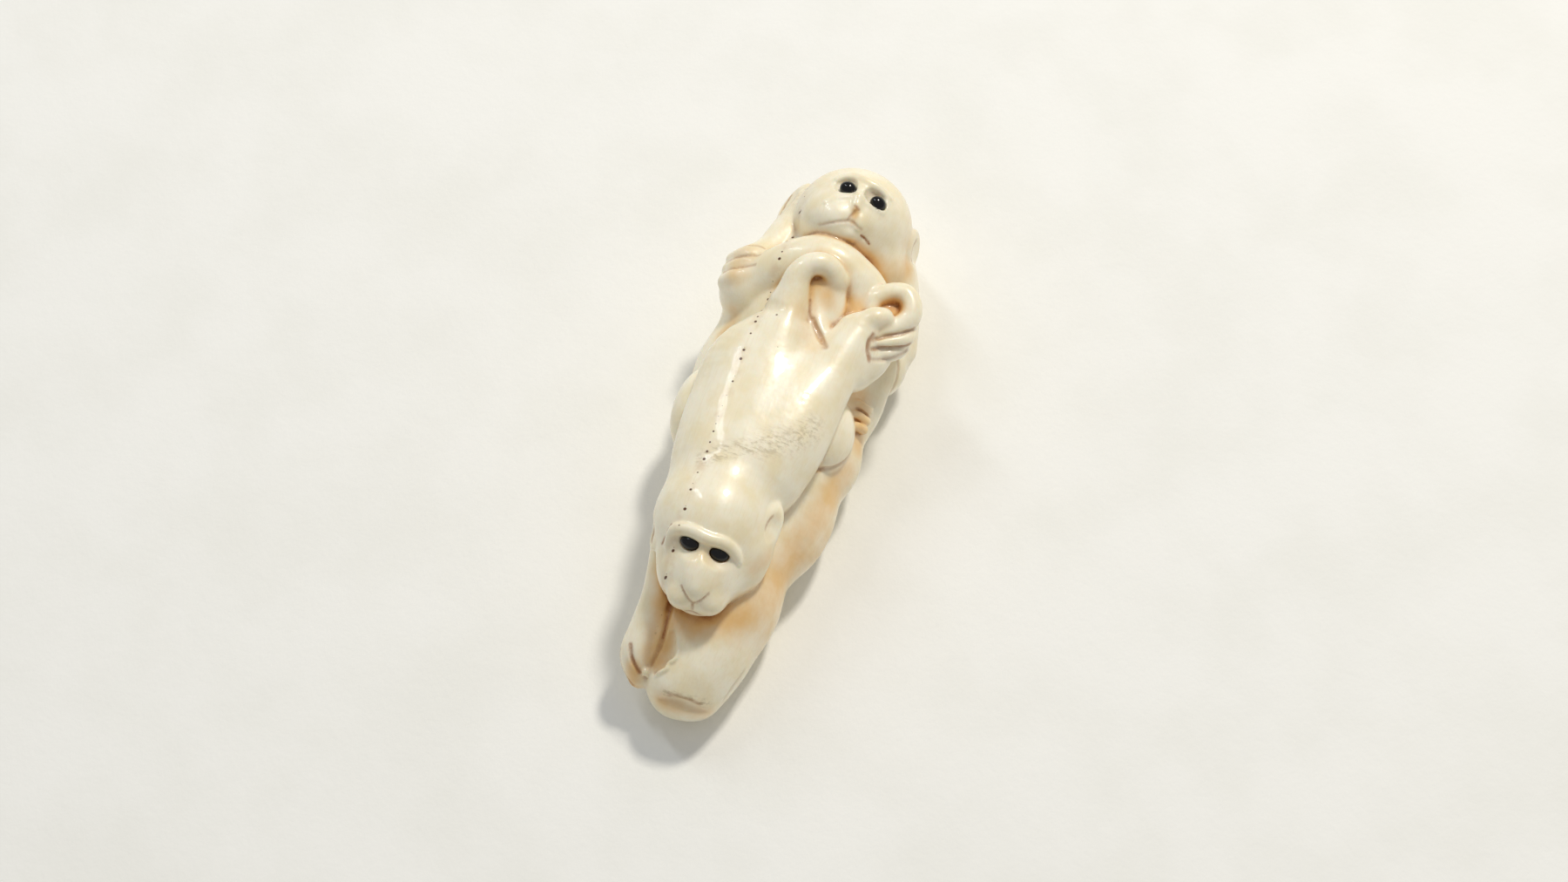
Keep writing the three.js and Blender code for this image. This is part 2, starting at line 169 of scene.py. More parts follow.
class Field:
    """Signed distances in mm on a regular grid. They are negative inside the ivory."""

    FAR = 4.0

    def __init__(self):
        self.low = np.array(FIELD_LOW)
        self.ticks = [np.arange(a, b, GRID, dtype=np.float32)
                      for a, b in zip(FIELD_LOW, FIELD_HIGH)]
        self.values = np.full([len(t) for t in self.ticks], self.FAR, np.float32)
        self.lines = []

    def window(self, low, high):
        first = [max(0, int((a - o) / GRID)) for a, o in zip(low, self.low)]
        last = [min(n, int((b - o) / GRID) + 2)
                for b, o, n in zip(high, self.low, self.values.shape)]
        return tuple(slice(a, max(a, b)) for a, b in zip(first, last))

    def draw(self, form, reach):
        """The distances to one form, where they are under `reach`, and their window."""
        spans = list(form.spans())
        low = np.min([s[0] for s in spans], 0) - reach
        high = np.max([s[1] for s in spans], 0) + reach
        whole = self.window(low, high)
        drawn = np.full([s.stop - s.start for s in whole], self.FAR, np.float32)
        for near, far, distance in spans:
            part = self.window(near - reach, far + reach)
            at = np.meshgrid(*[t[p] for t, p in zip(self.ticks, part)],
                             indexing="ij", sparse=True)
            inner = tuple(slice(p.start - w.start, p.stop - w.start)
                          for p, w in zip(part, whole))
            drawn[inner] = np.minimum(drawn[inner], distance(*at))
        return whole, drawn

    def add(self, form, blend=0.3):
        where, drawn = self.draw(form, blend + 0.9)
        self.values[where] = soft_least(self.values[where], drawn, blend)

    def cut(self, form, blend=0.2):
        where, drawn = self.draw(form, blend + 0.9)
        self.values[where] = -soft_least(-self.values[where], drawn, blend)

    def join(self, other, blend=0.3):
        self.values = soft_least(self.values, other.values, blend)

    def soften(self):
        for axis in range(3):
            v = np.moveaxis(self.values, axis, 0)
            v[1:-1] = 0.25 * v[:-2] + 0.5 * v[1:-1] + 0.25 * v[2:]

    def sample(self, points, values=None):
        """Values of the field between its grid points."""
        values = self.values if values is None else values
        at = (np.asarray(points, float) - self.low) / GRID
        at = np.clip(at, 0, np.array(values.shape) - 1.001)
        cell = at.astype(int)
        share = at - cell
        total = 0
        for corner in np.ndindex(2, 2, 2):
            weight = np.prod(np.where(corner, share, 1 - share), axis=1)
            i, j, k = (cell + corner).T
            total = total + weight * values[i, j, k]
        return total

    def outward(self, points, step=GRID):
        """Unit normals of the surface at points on or near it."""
        slope = np.stack([self.sample(points + step * e) - self.sample(points - step * e)
                          for e in np.eye(3)], axis=1)
        return slope / (np.linalg.norm(slope, axis=1, keepdims=True) + 1e-12)

    def onto_surface(self, points, rounds=4):
        points = np.array(points, float)
        for _ in range(rounds):
            move = np.clip(self.sample(points), -0.8, 0.8)
            points -= self.outward(points) * move[:, None]
        return points

    def follow(self, line, sizes, lift):
        """A limb that follows the surface under a line, its middle `lift` times its size above."""
        rows = smooth_curve([list(p) + [s] for p, s in zip(line, sizes)], 4)
        points = self.onto_surface(rows[:, :3])
        middle = points + self.outward(points) * (lift * rows[:, 3:])
        return Limb(np.hstack([middle, rows[:, 3:]]), steps=1)

    def groove(self, line, size, lift=0.25, blend=0.12, dirt=0.6):
        """Cuts a line that runs out at both ends. `size` is the half width of the tool."""
        sizes = [size * 0.5] + [size] * (len(line) - 2) + [size * 0.5]
        self.cut(self.follow(line, sizes, lift), blend)
        self.mark(line, size, dirt)

    def mark(self, line, size, dirt):
        """Remembers a line of dirt on the surface, for the paint."""
        self.lines.append((self.onto_surface(smooth_curve(line, 4)), size, dirt))

    def ridge(self, line, sizes, lift=-0.3, blend=0.2):
        self.add(self.follow(line, sizes, lift), blend)


def soft_least(a, b, blend):
    """The lesser of two distances, with a fillet of about `blend` where they meet."""
    near = np.maximum(blend - np.abs(a - b), 0) / blend
    return np.minimum(a, b) - (near * near * (blend * 0.25)).astype(np.float32)


# ---- the branch, and the rear monkey's limbs that grip it

def branch():
    part = Field()
    part.add(Swelling([-25.3, 2.5, 4.2], [4.3, 3.2, 3.5]), 1.2)
    part.add(Swelling([-21.1, 4.3, 4.6], [5.5, 3.0, 4.0]), 1.0)
    part.add(Limb([
        [-26.3, 0.9, 4.2, 3.2, 3.4], [-24.3, 0.8, 4.5, 3.9, 4.2], [-21.6, 0.5, 4.8, 4.4, 4.6],
        [-17.6, 0.2, 5.0, 4.4, 4.8], [-12.6, -0.5, 5.1, 4.3, 4.9], [-6.7, -1.0, 5.2, 4.8, 5.0],
        [-0.7, -1.1, 5.4, 5.4, 5.2], [5.9, -0.9, 5.5, 5.8, 5.3], [12.4, -0.2, 5.8, 6.2, 5.6],
        [18.4, 0.7, 6.2, 6.6, 6.0], [23.8, 1.4, 6.8, 6.2, 6.2], [26.7, 1.6, 7.4, 5.0, 5.5],
    ]), 1.0)
    part.add(Swelling([-17.6, -0.6, 5.0], [5.6, 4.2, 4.8], along=(0.99, -0.12, 0)), 1.0)
    part.add(Limb([
        [-11.9, -3.1, 5.0, 2.2], [-8.4, -3.3, 5.0, 3.5], [-5.0, -3.4, 5.0, 3.6],
        [-2.6, -3.3, 5.4, 2.8],
    ]), 0.5)
    return part


def add_rear_legs(part):
    part.add(Limb([
        [11.0, -5.8, 5.4, 2.2], [7.3, -5.4, 5.2, 2.6], [3.6, -4.5, 5.0, 2.8],
        [0.0, -4.5, 5.0, 3.2], [-3.9, -3.9, 5.2, 2.5],
    ]), 0.7)
    part.add(Swelling([12.8, -6.7, 5.2], [3.4, 2.3, 3.4]), 0.4)
    part.add(Limb([
        [15.7, 7.9, 8.5, 3.0], [11.6, 7.6, 7.0, 2.9], [6.9, 8.6, 6.6, 2.8], [2.4, 8.4, 6.4, 2.6],
    ]), 0.8)
    part.add(Swelling([14.5, 1.6, 7.0], [11.5, 8.0, 6.9]), 1.5)
    part.add(Limb([
        [15.0, 7.2, 4.6, 3.4], [8.5, 7.5, 4.0, 3.4], [1.5, 7.0, 3.6, 3.2], [-4.5, 5.6, 3.1, 2.6],
    ]), 0.6)
    part.add(Limb([[-5.0, 5.4, 2.6, 1.9], [-8.5, 5.6, 2.2, 1.6], [-11.0, 5.6, 2.0, 1.2]]), 0.5)


# ---- the front monkey

FRONT_CRANIUM = Swelling([-12.2, 3.3, 11.6], [6.2, 5.7, 5.2])


def front_body():
    """The trunk and left arm, with the cranium so that the nape runs smoothly into it."""
    part = Field()
    part.add(Limb([
        [-9.4, 3.2, 11.0, 5.3, 4.6], [-6.3, 3.2, 11.6, 6.2, 4.7], [-2.6, 3.0, 11.9, 6.7, 4.5],
        [1.3, 3.1, 11.9, 6.6, 4.4], [4.7, 3.6, 12.0, 6.0, 4.2], [7.3, 3.2, 12.4, 4.2, 3.8],
        [9.4, 2.7, 13.0, 2.4, 3.2], [11.4, 2.8, 13.9, 1.7, 2.3], [12.8, 3.0, 14.8, 1.4, 1.6],
    ]), 1.0)
    part.add(Limb([
        [-5.8, -0.6, 11.6, 3.0], [-2.2, -1.5, 12.3, 3.2], [1.8, -2.1, 12.7, 3.1, 2.9],
        [5.4, -2.8, 13.0, 2.8, 2.4], [8.5, -3.5, 13.2, 2.5, 2.2], [10.8, -4.2, 13.3, 2.2, 2.0],
    ]), 2.2)
    part.add(FRONT_CRANIUM, 1.6)
    return part


def front_head():
    part = Field()
    part.add(FRONT_CRANIUM, 1.6)
    part.add(Swelling([-15.2, 1.8, 10.9], [4.2, 4.9, 3.4], along=(0.89, 0.13, 0.43)), 1.5)
    part.add(Swelling([-16.8, 4.9, 11.4], [3.3, 2.3, 2.4]), 1.2)
    part.add(Swelling([-19.0, 2.3, 11.8], [3.0, 3.0, 2.1], along=(0.85, 0.11, 0.5)), 2.2)
    part.add(Limb([
        [-17.2, 2.8, 14.3, 0.9, 0.6], [-18.6, 2.65, 14.3, 1.15, 0.75],
        [-19.8, 2.5, 13.7, 1.25, 0.9], [-20.4, 2.45, 13.1, 1.0, 0.8],
    ]), 1.2)
    return part


def add_front_knees(ivory):
    ivory.add(Swelling([1.5, -4.0, 8.6], [4.1, 2.7, 3.1], along=(1, 0.1, 0)), 0.12)
    ivory.add(Swelling([0.8, 9.2, 8.0], [4.7, 2.5, 3.2]), 0.3)


def add_front_arm(ivory):
    ivory.add(Limb([
        [-11.3, 7.2, 8.6, 2.4], [-14.9, 6.7, 8.3, 2.1], [-19.3, 6.3, 7.5, 1.9],
        [-22.7, 6.5, 6.4, 1.9], [-25.0, 6.7, 5.3, 1.9], [-26.7, 6.1, 4.3, 1.2],
    ]), 0.3)


def add_front_tail(ivory):
    ivory.add(Limb([
        [11.1, 3.2, 13.9, 2.2], [12.6, 3.1, 14.9, 1.6], [14.1, 3.0, 15.7, 1.35],
        [15.3, 2.3, 16.15, 1.2], [15.9, 1.2, 16.1, 1.2], [15.9, 0.2, 15.6, 1.2],
        [15.4, -0.7, 14.8, 1.2],
    ]), 0.5)
    ivory.add(Limb([
        [15.4, -0.6, 14.6, 1.2, 1.1], [14.5, -0.2, 13.8, 1.8, 1.4], [13.1, 0.0, 13.3, 2.4, 1.5],
        [11.6, -0.4, 12.8, 2.3, 1.5], [10.0, -1.4, 12.0, 1.6, 1.3],
    ]), 0.4)
    ivory.add(Limb([
        [17.8, -0.8, 10.2, 3.2], [14.4, -0.9, 10.6, 2.6], [11.4, -1.0, 10.8, 1.8],
    ]), 0.5)
    ivory.add(Limb([
        [12.6, 0.4, 13.2, 1.3], [11.0, -0.1, 13.2, 1.2], [9.6, -1.0, 13.1, 1.1],
    ]), 0.3)
    ivory.add(Limb([
        [14.3, 1.2, 14.0, 1.3], [12.9, 0.9, 13.6, 1.3], [11.3, 0.3, 13.4, 1.2],
        [9.6, -0.6, 13.5, 1.1],
    ]), 0.4)


def cut_tail_hollow(ivory):
    """The narrow end of the hollow, where the back meets the arm, and the hook at its top."""
    ivory.groove([[10.6, 0.3, 14.3], [9.6, -0.4, 14.2], [8.6, -1.1, 14.6], [7.5, -1.9, 15.0]], 0.35,
                 lift=0.1, blend=0.15, dirt=0.5)
    ivory.mark([[12.4, 1.3, 14.4], [11.6, 1.0, 14.2], [10.8, 0.5, 14.1], [9.8, -0.3, 14.0]], 0.16,
               0.7)


def add_left_fist(ivory):
    ivory.add(Limb([[7.4, -4.9, 11.6, 1.8], [9.0, -6.0, 11.6, 1.7], [9.9, -6.6, 11.6, 1.4]]), 1.2)
    ivory.add(Swelling([13.2, -6.4, 11.2], [3.2, 2.6, 2.5]), 0.3)
    ivory.add(Limb([
        [14.1, -4.6, 13.0, 1.05], [15.2, -4.8, 13.4, 1.05], [16.1, -6.0, 13.6, 1.1],
        [16.4, -7.4, 13.6, 1.15], [15.5, -8.3, 13.5, 1.15], [14.1, -8.5, 13.3, 1.15],
        [12.7, -7.6, 13.1, 1.15], [11.7, -6.4, 13.0, 1.15], [10.9, -5.2, 12.8, 1.1],
    ]), 0.3)
    ivory.add(Limb([
        [10.1, -5.4, 13.3, 0.65], [10.9, -7.2, 13.2, 0.75], [12.0, -8.7, 12.8, 0.8],
        [13.4, -8.8, 12.1, 0.8], [14.6, -8.1, 11.4, 0.8],
    ]), 0.1)
    ivory.add(Limb([
        [9.2, -5.5, 12.5, 0.7], [10.0, -7.3, 12.3, 0.8], [11.2, -8.4, 11.9, 0.85],
        [12.6, -8.3, 11.3, 0.85], [13.7, -7.5, 10.6, 0.85],
    ]), 0.1)
    ivory.add(Limb([
        [11.2, -3.9, 13.5, 1.6], [11.9, -4.8, 14.0, 1.35], [12.5, -5.5, 14.3, 1.2],
        [12.9, -6.2, 14.2, 1.05],
    ]), 0.4)
    ivory.add(Swelling([13.9, -6.4, 12.0], [2.2, 2.0, 1.6]), 0.3)
    ivory.cut(Limb([[14.5, -7.0, 16.0, 0.8], [14.7, -6.9, 14.3, 0.6]], up=(1, 0, 0)), 0.5)
    ivory.groove([[13.1, -9.3, 13.3], [12.1, -8.4, 13.7], [11.1, -6.9, 13.9], [10.2, -6.0, 14.3]],
                 0.24, lift=0.0, blend=0.15, dirt=0.7)
    ivory.groove([[11.6, -9.3, 12.8], [10.7, -8.4, 13.1], [10.1, -7.2, 13.4], [9.4, -6.2, 13.9]],
                 0.24, lift=0.0, blend=0.15, dirt=0.7)
    ivory.groove([[10.6, -5.7, 14.4], [9.7, -5.7, 14.5], [8.9, -5.9, 14.2], [8.3, -6.2, 13.7]],
                 0.3, lift=0.1, blend=0.2, dirt=0.7)
    ivory.groove([[8.4, -6.3, 13.5], [9.0, -7.2, 12.9], [9.8, -8.0, 12.5], [11.3, -9.1, 12.1]],
                 0.22, lift=0.1, dirt=0.3)


# ---- the rear monkey

def rear_arch():
    part = Field()
    part.add(Swelling([14.6, 8.3, 9.6], [3.5, 3.0, 3.3]), 0.3)
    part.add(Limb([
        [14.7, 7.6, 10.6, 2.4], [15.9, 5.7, 12.2, 2.5], [17.2, 3.7, 13.3, 2.4],
        [18.0, 1.7, 13.7, 2.3], [17.7, -0.6, 13.4, 2.3], [16.6, -3.0, 12.2, 2.3],
        [15.6, -5.0, 10.8, 2.1],
    ]), 1.2)
    part.add(Limb([[16.6, -2.6, 12.4, 2.2], [14.8, -3.2, 12.3, 1.8], [13.0, -3.4, 12.0, 1.7]]), 0.9)
    return part


def rear_head():
    part = Field()
    part.add(Swelling([24.5, 0.4, 10.4], [5.95, 6.1, 6.0]), 0.3)
    part.add(Swelling([22.4, 1.8, 14.2], [2.6, 2.9, 2.4]), 1.4)
    part.add(Swelling([20.9, -3.2, 9.6], [2.6, 3.0, 2.8]), 1.4)
    return part


def add_rear_arms(ivory):
    ivory.add(Limb([
        [24.0, 5.7, 9.0, 2.4], [21.6, 6.6, 9.8, 2.0], [18.8, 7.6, 11.0, 1.5],
        [16.7, 8.8, 12.0, 1.4],
    ]), 0.4)
    ivory.add(Limb([
        [23.0, -3.8, 8.0, 2.8], [20.7, -5.2, 7.2, 2.6], [17.2, -6.7, 6.5, 2.2],
        [14.8, -7.2, 5.5, 2.2],
    ]), 0.5)


# ---- ears, hands and feet

def add_ear(ivory, centre, along, out, size, blend=0.3):
    """A round ear that stands off the head: a dish with a rim, and a fold inside it."""
    along = unit(along)
    out = unit(np.asarray(out) - along * np.dot(out, along))
    across = np.cross(out, along)
    length, height, thick = size
    ivory.add(Swelling(centre, [length, height, thick], along, across), blend)
    dish = centre + out * thick * 1.05 - along * 0.1 * length
    ivory.cut(Swelling(dish, [length * 0.66, height * 0.6, thick * 0.5], along, across), 0.25)
    fold = [centre + out * thick + along * a * length + across * b * height
            for a, b in ((0.3, 0.3), (-0.1, 0.35), (-0.5, 0.2), (-0.75, -0.1))]
    ivory.groove(fold, 0.13, lift=0.1, dirt=0.6)


def add_ears(ivory):
    add_ear(ivory, np.array([-11.7, -2.1, 12.8]), (1, -0.1, 0.1), (0.1, -0.75, 0.65),
            (2.6, 1.5, 0.9))
    ivory.add(Swelling([-13.6, -1.6, 11.6], [2.4, 1.5, 1.9]), 0.8)  # the lobe below it
    add_ear(ivory, np.array([-14.4, 7.8, 11.5]), (1, 0, 0.1), (0, 0.9, 0.4), (2.3, 1.7, 0.7))
    add_ear(ivory, np.array([25.6, 6.9, 9.8]), (0.97, -0.23, 0), (0.2, 0.8, 0.55),
            (2.9, 2.0, 0.9))
    add_ear(ivory, np.array([24.6, -5.9, 9.0]), (1, 0, 0), (0, -1, 0.2), (2.1, 2.0, 0.6))


def add_left_toes(ivory):
    toes = [
        [[5.5, -4.3, 8.8], [6.1, -5.7, 8.2], [6.2, -6.9, 7.2]],
        [[4.3, -4.8, 8.7], [4.9, -6.0, 8.0], [5.0, -7.0, 7.1]],
        [[3.2, -5.2, 8.5], [3.8, -6.4, 7.8], [4.0, -7.0, 7.1]],
    ]
    for toe in toes:
        ivory.add(Limb([p + [0.5] for p in toe]), 0.1)


def cut_left_creases(ivory):
    """The lower edge of the front monkey's knee, and the line behind the rear monkey's thigh."""
    ivory.groove([[0.8, -6.6, 8.0], [-0.3, -6.5, 8.3], [-1.4, -5.9, 8.8], [-2.4, -5.0, 9.2],
                  [-3.2, -4.5, 10.0]], 0.3, lift=0.15, dirt=0.35)
    ivory.groove([[13.0, -7.1, 8.4], [12.2, -7.9, 7.4], [10.9, -8.3, 6.2], [9.5, -8.5, 4.6]], 0.2,
                 lift=0.3, dirt=0.3)


def add_rear_fingers(ivory):
    """The rear monkey's right hand, closed over its knee, with lines cut between the fingers."""
    for x in (17.1, 15.8, 14.4):
        ivory.add(Limb([
            [x + 0.1, 8.2, 12.3, 0.8], [x - 0.2, 9.6, 12.0, 0.85], [x - 0.4, 10.6, 11.0, 0.8],
        ]), 0.5)
    for x in (17.9, 16.4, 15.1):
        ivory.groove([[x + 0.2, 7.6, 13.4], [x, 8.6, 13.2], [x - 0.3, 9.8, 12.7],
                      [x - 0.5, 11.0, 11.6]], 0.14, lift=0.1, dirt=0.4)


def add_right_foot_toes(ivory):
    for i in range(4):
        y = 4.2 + 0.95 * i
        ivory.add(Limb([[-10.2, y, 2.6, 0.55], [-11.6, y, 2.3, 0.6], [-12.5, y, 1.5, 0.5]]), 0.12)


def cut_front_hand(ivory):
    """The fingers of the right hand, laid along the edge of the branch."""
    ivory.groove([[-24.9, 7.4, 7.1], [-25.9, 7.0, 6.6], [-26.5, 6.5, 6.2], [-26.9, 6.0, 5.8]],
                 0.22, lift=0.1, dirt=0.8)
    ivory.groove([[-25.2, 8.5, 5.8], [-26.3, 8.0, 5.2], [-27.2, 7.2, 4.6], [-27.6, 6.4, 4.4]],
                 0.22, lift=0.1, dirt=0.6)
    ivory.groove([[-25.4, 8.6, 4.0], [-26.6, 7.8, 3.6], [-27.4, 6.8, 3.4]], 0.2, lift=0.1)
    ivory.add(Swelling([-26.7, 5.4, 5.9], [0.5, 0.42, 0.42]), 0.12)


# ---- faces

def cut_sockets(ivory, eyes):
    for eye in eyes:
        ivory.cut(Swelling(eye.centre, eye.halves + SOCKET_ROOM, eye.along, eye.across), 0.06)


def carve_front_face(ivory, eyes):
    """Eye hollows, lips, sockets and the brow, then the nose, the nostrils and the mouth."""
    for eye in eyes:
        ivory.cut(Swelling(eye.centre + eye.out * 0.85, [1.5, 1.1, 0.7], eye.along, eye.across),
                  0.6)
    ivory.add(Swelling([-20.8, 3.6, 12.2], [1.3, 1.3, 1.1]), 0.8)
    ivory.add(Swelling([-20.4, 0.9, 11.9], [1.4, 1.4, 1.1]), 0.8)
    cut_sockets(ivory, eyes)
    ivory.ridge([[-16.9, 6.3, 14.0], [-16.2, 6.2, 15.0], [-15.9, 5.7, 15.6], [-15.9, 4.8, 16.0],
                 [-16.0, 3.7, 16.1], [-16.1, 2.7, 16.0], [-16.1, 1.7, 15.8], [-16.1, 0.6, 15.4],
                 [-16.2, -0.4, 14.7], [-16.6, -0.9, 14.0]],
                [0.4, 0.6, 0.7, 0.7, 0.7, 0.7, 0.7, 0.7, 0.6, 0.4], lift=-0.25, blend=0.12)
    ivory.groove([[-16.9, 7.0, 13.6], [-16.2, 6.9, 14.7], [-15.4, 6.4, 15.4]], 0.13, dirt=0.9)
    ivory.add(Swelling([-20.2, 2.3, 13.4], [1.2, 1.1, 0.95], along=(0.8, 0.1, 0.5)), 0.3)
    for nostril in ([[-20.5, 3.6, 13.8], [-21.1, 2.9, 13.4], [-21.4, 2.2, 12.8]],
                    [[-20.4, 1.0, 13.5], [-21.0, 1.6, 13.2], [-21.4, 2.2, 12.8]]):
        ivory.groove(nostril, 0.12, lift=0.1, dirt=0.6)
    ivory.groove([[-21.3, 2.3, 12.9], [-21.7, 2.2, 12.4], [-21.9, 2.2, 12.0]], 0.14)
    ivory.groove([[-20.6, 4.6, 11.6], [-21.4, 3.4, 11.4], [-21.8, 2.2, 11.4], [-21.4, 0.9, 11.0],
                  [-20.5, -0.2, 10.8]], 0.2)


def carve_rear_face(ivory, eyes):
    """Eye hollows, the brow, the muzzle and its lips, then sockets, the mouth and a crack."""
    ivory.cut(Swelling([25.7, 1.7, 16.5], [1.3, 1.4, 1.0]), 0.12)
    ivory.cut(Swelling([25.2, -1.8, 16.2], [1.3, 1.3, 1.0], across=(0, 0.95, 0.3)), 0.12)
    ivory.ridge([[26.2, 2.6, 15.7], [27.0, 1.2, 15.8], [26.8, -0.4, 16.0], [26.5, -1.6, 15.7],
                 [25.9, -2.9, 15.0]], [0.3, 0.55, 0.55, 0.55, 0.3], lift=-0.4, blend=0.3)
    ivory.add(Swelling([22.9, 0.1, 14.5], [2.3, 3.1, 2.05], across=(0, 0.97, 0.2)), 0.3)
    ivory.add(Swelling([22.0, 1.5, 15.4], [1.6, 1.8, 1.3]), 0.5)
    ivory.add(Swelling([22.1, -1.0, 15.2], [1.3, 0.8, 1.1]), 0.4)
    ivory.add(Swelling([20.8, 0.8, 14.8], [0.9, 2.1, 1.1]), 0.25)
    ivory.ridge([[22.7, 2.8, 16.4], [23.6, 1.8, 16.8], [24.1, 0.7, 16.8], [24.3, -0.3, 16.6],
                 [24.1, -1.5, 16.0], [23.9, -2.6, 15.1]],
                [0.2, 0.35, 0.4, 0.4, 0.35, 0.2], lift=-0.6, blend=0.3)
    ivory.ridge([[24.3, -0.2, 16.6], [23.6, -0.3, 16.8], [23.0, -0.4, 16.8]],
                [0.5, 0.55, 0.4], lift=-0.3, blend=0.4)
    cut_sockets(ivory, eyes)
    ivory.groove([[20.6, 2.7, 15.6], [20.9, 1.5, 16.1], [21.3, 0.5, 16.2], [21.6, -0.3, 16.0],
                  [21.3, -1.3, 15.6]], 0.16, lift=0.1, dirt=0.3)
    ivory.groove([[22.9, -0.5, 16.7], [22.2, -0.2, 16.5], [21.5, 0.2, 16.2]], 0.16, lift=0.1,
                 dirt=0.4)
    ivory.groove([[23.0, -0.2, 16.8], [22.8, -0.6, 16.6]], 0.15, lift=0.1, dirt=0.7)
    ivory.groove([[20.8, -1.6, 15.1], [20.8, -2.0, 14.7], [20.7, -2.4, 14.2]], 0.13, lift=0.1,
                 dirt=1.0)


# ---- the stump, the underside and other cuts

def carve_stump(ivory):
    """The sawn end: a broken patch, a worn hollow round the rim, and the crease by the arm."""
    ivory.groove([[-17.6, 6.0, 8.8], [-19.6, 5.3, 8.4], [-21.3, 4.8, 8.2], [-22.2, 4.7, 8.0],
                  [-23.2, 4.6, 7.7], [-24.4, 4.6, 7.3], [-26.0, 4.9, 6.4]], 0.3, lift=0.1,
                 blend=0.25, dirt=0.5)
    ivory.mark([[-21.0, 4.8, 8.2], [-22.2, 4.75, 8.0], [-23.6, 4.6, 7.6]], 0.16, 1.0)
    patch = [[-23.2, 3.8, 8.4], [-24.6, 3.7, 8.0], [-25.7, 3.9, 7.6], [-26.8, 4.5, 6.6]]
    ivory.cut(ivory.follow(patch, [0.4, 0.8, 0.85, 0.55], lift=0.5), 0.05)
    ivory.ridge([[-24.6, 2.8, 8.4], [-25.4, 2.7, 8.1], [-26.0, 3.2, 7.7], [-26.5, 3.3, 7.5],
                 [-26.9, 3.9, 7.0], [-27.2, 4.4, 6.4]], [0.1, 0.22, 0.25, 0.25, 0.22, 0.12],
                lift=0.1, blend=0.1)
    rim = [[-29.1, 3.2, 5.9], [-29.1, 2.2, 6.3], [-29.1, 1.0, 6.3], [-29.0, -0.2, 5.9],
           [-28.7, -1.2, 5.2]]
    ivory.cut(ivory.follow(rim, [0.35, 0.7, 0.8, 0.7, 0.35], lift=0.5), 0.1)
    ivory.mark([[-28.9, 2.4, 6.6], [-28.8, 1.4, 6.8], [-28.7, 0.4, 6.6], [-28.6, -0.6, 6.2]],
               0.22, 0.5)
    ivory.groove([[-23.5, -2.9, 5.5], [-25.0, -2.6, 5.2], [-26.6, -2.2, 4.8]], 0.25, lift=0.4,
                 dirt=0.15)


def cord_channel():
    """Two cord holes in the underside, joined inside by a channel."""
    half = CORD_HOLE_SPACING / 2
    x, y = CORD_CHANNEL_MIDDLE
    bend = [[x - half * math.cos(a), y, CORD_CHANNEL_DEPTH * math.sin(a), CORD_HOLE]
            for a in np.linspace(0, math.pi, 7)]
    start, end = ([edge, y, -3.0, CORD_HOLE] for edge in (x - half, x + half))
    return Limb([start] + bend + [end], up=(0, 1, 0))


# ---- eyes

class Eye:
    """An inlaid eye. It sits where its CAD solid is, and faces `out`."""

    SWELL = 0.05      # a real inlay fills the gap that the CAD solids keep

    def __init__(self, node, halves, out, line):
        low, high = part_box(node)
        self.node = node
        self.centre = np.array((low + high) / 2) / MM + ORIGIN
        self.halves = np.array(halves) + self.SWELL
        self.out = unit(out)
        self.along = unit(np.array(line) - self.out * np.dot(self.out, line))
        self.across = np.cross(self.out, self.along)


FRONT_LINE = (-0.03, -0.98, -0.13)
REAR_LINE = (-0.14, -0.97, -0.17)
FRONT_HALVES = (0.92, 0.62, 0.5)
REAR_HALVES = (0.8, 0.7, 0.62)
front_eyes = [
    Eye("front_monkey_right_eye", FRONT_HALVES, (-0.6, 0.16, 0.78), FRONT_LINE),
    Eye("front_monkey_left_eye", FRONT_HALVES, (-0.49, -0.3, 0.79), FRONT_LINE),
]
rear_eyes = [
    Eye("rear_monkey_right_eye", REAR_HALVES, (0.1, 0.06, 0.97), REAR_LINE),
    Eye("rear_monkey_left_eye", REAR_HALVES, (0.03, -0.43, 0.9), REAR_LINE),
]


# ---- the whole carving

def carve():
    ivory = branch()
    add_rear_legs(ivory)
    ivory.join(front_body(), 0.35)
    add_front_knees(ivory)
    ivory.join(front_head(), 0.3)
    add_front_arm(ivory)
    add_front_tail(ivory)
    ivory.join(rear_arch(), 0.3)
    ivory.join(rear_head(), 0.3)
    add_rear_arms(ivory)
    ivory.soften()
    add_ears(ivory)
    cut_tail_hollow(ivory)
    add_left_fist(ivory)
    add_left_toes(ivory)
    cut_left_creases(ivory)
    add_rear_fingers(ivory)
    add_right_foot_toes(ivory)
    cut_front_hand(ivory)
    carve_stump(ivory)
    carve_front_face(ivory, front_eyes)
    carve_rear_face(ivory, rear_eyes)
    ivory.cut(cord_channel(), 0.5)
    foot = ORIGIN[2] - ivory.ticks[2][None, None, :]
    ivory.values = -soft_least(-ivory.values, -np.broadcast_to(foot, ivory.values.shape), 0.08)
    return ivory


